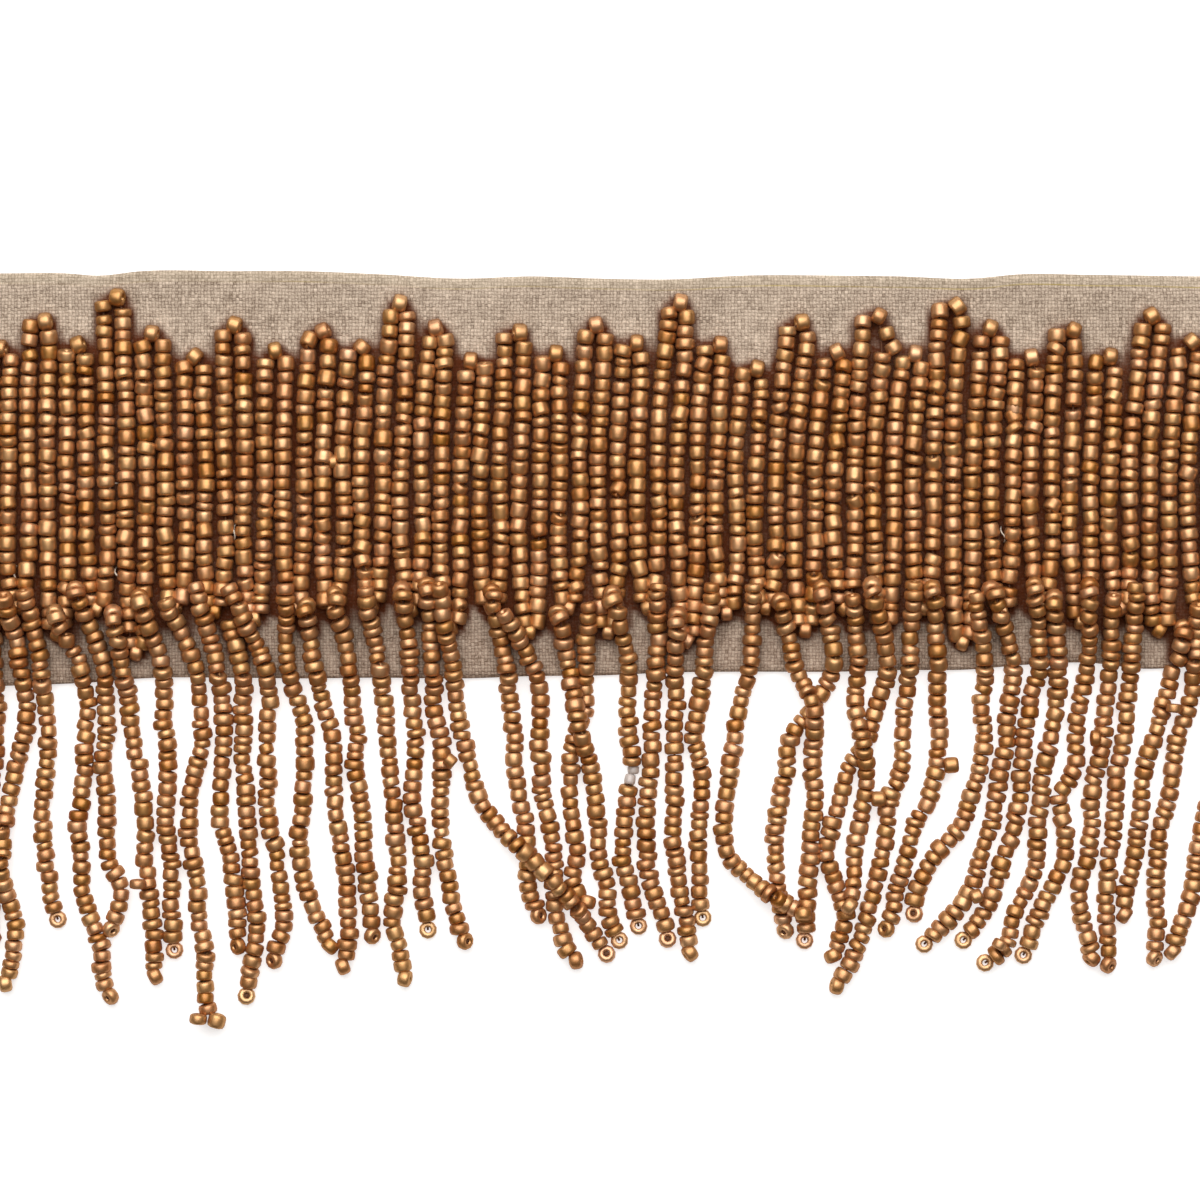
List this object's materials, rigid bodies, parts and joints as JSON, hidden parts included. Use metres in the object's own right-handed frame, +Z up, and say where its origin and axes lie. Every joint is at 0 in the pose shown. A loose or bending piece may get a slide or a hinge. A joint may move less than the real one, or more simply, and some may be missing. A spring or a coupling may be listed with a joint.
{
  "type": "beaded fringe trim",
  "caption": "Cut length of sewing trim: a folded linen band carrying a stepped field of bronze seed beads, with loose bead strands hanging below it.",
  "frame": {"origin": "under the middle of the trim as it lies, on the surface that it lies on", "axes": "+X along the trim, +Y across it towards the plain heading edge, +Z up out of the beaded face"},
  "size_m": [0.176, 0.101, 0.0055],
  "materials": {
    "linen": "plain weave natural linen, unbleached, matt",
    "beads": "glass seed beads with a satin bronze metallic coat"
  },
  "bodies": {
    "root": {"linen_band": "linen", "bead_columns": "beads", "fringe": "beads"}
  },
  "joints": []
}
